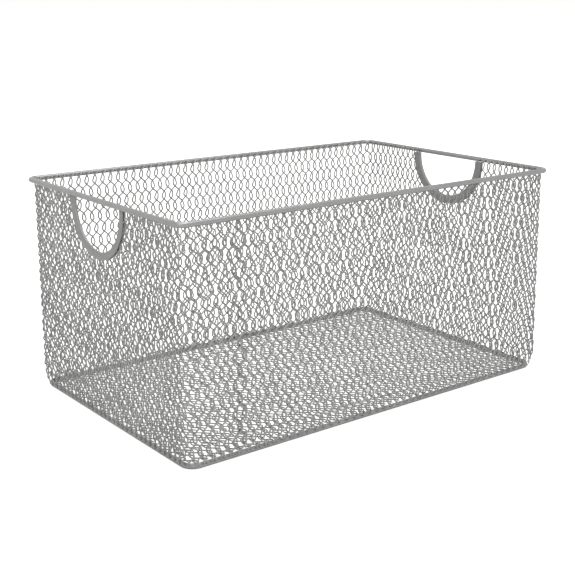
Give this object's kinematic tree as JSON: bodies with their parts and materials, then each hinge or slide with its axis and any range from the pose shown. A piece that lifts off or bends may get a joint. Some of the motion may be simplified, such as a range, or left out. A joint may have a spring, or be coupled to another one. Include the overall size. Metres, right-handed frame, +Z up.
{
  "type": "mesh storage basket",
  "caption": "Rectangular open-top storage basket of twisted-wire net on a round wire rim and base hoop, with a half-round trimmed hand-hold in each short side.",
  "frame": {"origin": "on the surface the basket stands on, under the middle of its outer box", "axes": "+Z up; X along the long sides; the side with the net's seam faces -Y"},
  "size_m": [0.4, 0.256, 0.192],
  "materials": {
    "wire_hoop": "satin silver-grey coating",
    "wire_net": "satin silver-grey coating over fine twisted wire",
    "pressed_trim": "satin silver-grey coating over pressed sheet"
  },
  "bodies": {
    "root": {"top_rim": "wire_hoop", "base_hoop": "wire_hoop", "wall_net": "wire_net", "floor_net": "wire_net", "left_hand_hold_trim": "pressed_trim", "right_hand_hold_trim": "pressed_trim"}
  },
  "joints": []
}
